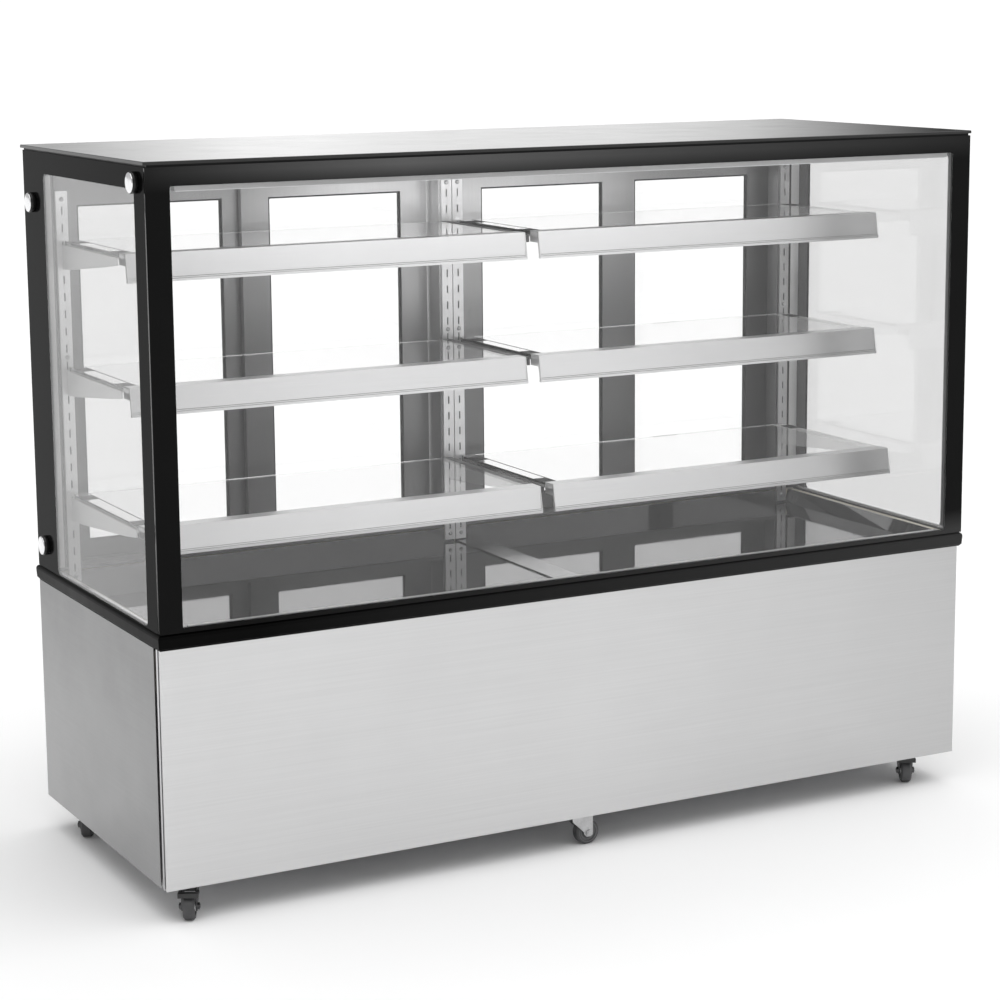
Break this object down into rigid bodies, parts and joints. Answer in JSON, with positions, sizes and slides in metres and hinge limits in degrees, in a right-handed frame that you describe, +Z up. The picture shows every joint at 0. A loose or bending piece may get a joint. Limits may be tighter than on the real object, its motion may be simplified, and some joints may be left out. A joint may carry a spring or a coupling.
{
  "type": "refrigerated bakery display case",
  "caption": "Square-glass refrigerated bakery display case on casters, with glass shelves, price rails, sliding rear doors and a stainless lower cabinet.",
  "frame": {"origin": "centre of the bounding box at floor level, under the casters' wheels", "axes": "+X to the right seen from the customer's side, +Y from the front glass to the rear doors, +Z up"},
  "size_m": [1.823, 0.7, 1.396],
  "materials": {
    "stainless": "fine vertical brushing",
    "polished_stainless": "near-mirror polish",
    "bracket_metal": "satin grey",
    "aluminium": "satin anodised",
    "fin_aluminium": "bare fins",
    "light_bar": "white satin diffuser",
    "zinc": "bright zinc plate",
    "chrome": "polished",
    "black_metal": "satin black",
    "clear_glass": "clear, with black printed borders on the cabinet panes",
    "dark_glass": "opaque black backed glass",
    "black_plastic": "fine texture",
    "switch_plastic": "gloss black",
    "belt_plastic": "satin black",
    "rail_plastic": "clear over silver",
    "foam": "foam behind a thin skin",
    "wheel_rubber": "grey polyurethane tread"
  },
  "bodies": {
    "cabinet": {"base_frame": "stainless", "front_panel": "stainless", "side_panels": "stainless", "rear_service_panel": "stainless", "control_panel": "black_plastic", "cable_gland": "black_plastic", "belt_moulding": "belt_plastic", "insulated_tub": "foam", "deck_pans": "polished_stainless", "front_glass": "clear_glass", "side_glasses": "clear_glass", "top_glass": "dark_glass", "top_frame": "black_metal", "glass_fixings": "chrome", "rear_door_frame": "aluminium", "shelf_standards": "stainless", "shelf_brackets": "bracket_metal", "front_light_bars": "light_bar", "compressor": "black_metal", "condenser": "fin_aluminium", "evaporator": "fin_aluminium", "caster_plates": "zinc"},
    "left_inner_door": {"left_inner_door_frame": "aluminium", "left_inner_door_glass": "clear_glass"},
    "left_outer_door": {"left_outer_door_frame": "aluminium", "left_outer_door_glass": "clear_glass"},
    "right_inner_door": {"right_inner_door_frame": "aluminium", "right_inner_door_glass": "clear_glass"},
    "right_outer_door": {"right_outer_door_frame": "aluminium", "right_outer_door_glass": "clear_glass"},
    "top_left_shelf": {"top_left_shelf_glass": "clear_glass", "top_left_price_rail": "rail_plastic"},
    "top_right_shelf": {"top_right_shelf_glass": "clear_glass", "top_right_price_rail": "rail_plastic"},
    "middle_left_shelf": {"middle_left_shelf_glass": "clear_glass", "middle_left_price_rail": "rail_plastic"},
    "middle_right_shelf": {"middle_right_shelf_glass": "clear_glass", "middle_right_price_rail": "rail_plastic"},
    "bottom_left_shelf": {"bottom_left_shelf_glass": "clear_glass", "bottom_left_price_rail": "rail_plastic"},
    "bottom_right_shelf": {"bottom_right_shelf_glass": "clear_glass", "bottom_right_price_rail": "rail_plastic"},
    "power_switch": {"power_switch": "switch_plastic"},
    "light_switch": {"light_switch": "switch_plastic"},
    "condenser_fan": {"condenser_fan": "black_plastic"},
    "evaporator_blower": {"evaporator_blower": "black_plastic"},
    "front_left_caster": {"front_left_caster_fork": "zinc"},
    "front_left_wheel": {"front_left_caster_wheel": "wheel_rubber"},
    "front_left_brake": {"front_left_brake_pedal": "black_metal"},
    "front_middle_caster": {"front_middle_caster_fork": "zinc"},
    "front_middle_wheel": {"front_middle_caster_wheel": "wheel_rubber"},
    "front_right_caster": {"front_right_caster_fork": "zinc"},
    "front_right_wheel": {"front_right_caster_wheel": "wheel_rubber"},
    "front_right_brake": {"front_right_brake_pedal": "black_metal"},
    "rear_left_caster": {"rear_left_caster_fork": "zinc"},
    "rear_left_wheel": {"rear_left_caster_wheel": "wheel_rubber"},
    "rear_middle_caster": {"rear_middle_caster_fork": "zinc"},
    "rear_middle_wheel": {"rear_middle_caster_wheel": "wheel_rubber"},
    "rear_right_caster": {"rear_right_caster_fork": "zinc"},
    "rear_right_wheel": {"rear_right_caster_wheel": "wheel_rubber"}
  },
  "joints": [
    {"name": "left_inner_door_slide", "type": "slide", "parent": "cabinet", "child": "left_inner_door", "axis": [-1, 0, 0], "range_m": [0, 0.394]},
    {"name": "left_outer_door_slide", "type": "slide", "parent": "cabinet", "child": "left_outer_door", "axis": [1, 0, 0], "range_m": [0, 0.394]},
    {"name": "right_inner_door_slide", "type": "slide", "parent": "cabinet", "child": "right_inner_door", "axis": [1, 0, 0], "range_m": [0, 0.394]},
    {"name": "right_outer_door_slide", "type": "slide", "parent": "cabinet", "child": "right_outer_door", "axis": [-1, 0, 0], "range_m": [0, 0.394]},
    {"name": "top_left_shelf_lift", "type": "slide", "parent": "cabinet", "child": "top_left_shelf", "axis": [0, 0, 1], "range_m": [0, 0.03]},
    {"name": "top_right_shelf_lift", "type": "slide", "parent": "cabinet", "child": "top_right_shelf", "axis": [0, 0, 1], "range_m": [0, 0.03]},
    {"name": "middle_left_shelf_lift", "type": "slide", "parent": "cabinet", "child": "middle_left_shelf", "axis": [0, 0, 1], "range_m": [0, 0.03]},
    {"name": "middle_right_shelf_lift", "type": "slide", "parent": "cabinet", "child": "middle_right_shelf", "axis": [0, 0, 1], "range_m": [0, 0.03]},
    {"name": "bottom_left_shelf_lift", "type": "slide", "parent": "cabinet", "child": "bottom_left_shelf", "axis": [0, 0, 1], "range_m": [0, 0.03]},
    {"name": "bottom_right_shelf_lift", "type": "slide", "parent": "cabinet", "child": "bottom_right_shelf", "axis": [0, 0, 1], "range_m": [0, 0.03]},
    {"name": "power_switch_rock", "type": "hinge", "parent": "cabinet", "child": "power_switch", "pos_m": [0.552, 0.336, 0.48], "axis": [-1, 0, 0], "range_deg": [0, 16]},
    {"name": "light_switch_rock", "type": "hinge", "parent": "cabinet", "child": "light_switch", "pos_m": [0.584, 0.336, 0.48], "axis": [-1, 0, 0], "range_deg": [0, 16]},
    {"name": "condenser_fan_spin", "type": "hinge", "parent": "cabinet", "child": "condenser_fan", "pos_m": [-0.49, 0.222, 0.25], "axis": [0, 1, 0], "continuous": true},
    {"name": "evaporator_blower_spin", "type": "hinge", "parent": "cabinet", "child": "evaporator_blower", "pos_m": [0, 0.06, 0.484], "axis": [1, 0, 0], "continuous": true},
    {"name": "front_left_caster_swivel", "type": "hinge", "parent": "cabinet", "child": "front_left_caster", "pos_m": [-0.84, -0.304, 0.0585], "axis": [0, 0, 1], "continuous": true},
    {"name": "front_left_wheel_roll", "type": "hinge", "parent": "front_left_caster", "child": "front_left_wheel", "pos_m": [-0.84798, -0.31901, 0.025], "axis": [0.8829, -0.4695, 0], "continuous": true},
    {"name": "front_left_brake_press", "type": "hinge", "parent": "front_left_caster", "child": "front_left_brake", "pos_m": [-0.85033, -0.32343, 0.0532], "axis": [0.8829, -0.4695, 0], "range_deg": [0, 18]},
    {"name": "front_middle_caster_swivel", "type": "hinge", "parent": "cabinet", "child": "front_middle_caster", "pos_m": [-0.012, -0.304, 0.0585], "axis": [0, 0, 1], "continuous": true},
    {"name": "front_middle_wheel_roll", "type": "hinge", "parent": "front_middle_caster", "child": "front_middle_wheel", "pos_m": [0.005, -0.304, 0.025], "axis": [0, 1, 0], "continuous": true},
    {"name": "front_right_caster_swivel", "type": "hinge", "parent": "cabinet", "child": "front_right_caster", "pos_m": [0.818, -0.276, 0.0585], "axis": [0, 0, 1], "continuous": true},
    {"name": "front_right_wheel_roll", "type": "hinge", "parent": "front_right_caster", "child": "front_right_wheel", "pos_m": [0.81002, -0.29101, 0.025], "axis": [0.8829, -0.4695, 0], "continuous": true},
    {"name": "front_right_brake_press", "type": "hinge", "parent": "front_right_caster", "child": "front_right_brake", "pos_m": [0.80767, -0.29542, 0.0532], "axis": [0.8829, -0.4695, 0], "range_deg": [0, 18]},
    {"name": "rear_left_caster_swivel", "type": "hinge", "parent": "cabinet", "child": "rear_left_caster", "pos_m": [-0.846, 0.246, 0.0585], "axis": [0, 0, 1], "continuous": true},
    {"name": "rear_left_wheel_roll", "type": "hinge", "parent": "rear_left_caster", "child": "rear_left_wheel", "pos_m": [-0.85398, 0.23099, 0.025], "axis": [0.8829, -0.4695, 0], "continuous": true},
    {"name": "rear_middle_caster_swivel", "type": "hinge", "parent": "cabinet", "child": "rear_middle_caster", "pos_m": [0, 0.246, 0.0585], "axis": [0, 0, 1], "continuous": true},
    {"name": "rear_middle_wheel_roll", "type": "hinge", "parent": "rear_middle_caster", "child": "rear_middle_wheel", "pos_m": [-0.01597, 0.24019, 0.025], "axis": [0.342, -0.9397, 0], "continuous": true},
    {"name": "rear_right_caster_swivel", "type": "hinge", "parent": "cabinet", "child": "rear_right_caster", "pos_m": [0.846, 0.246, 0.0585], "axis": [0, 0, 1], "continuous": true},
    {"name": "rear_right_wheel_roll", "type": "hinge", "parent": "rear_right_caster", "child": "rear_right_wheel", "pos_m": [0.8545, 0.23128, 0.025], "axis": [0.866, 0.5, 0], "continuous": true}
  ]
}
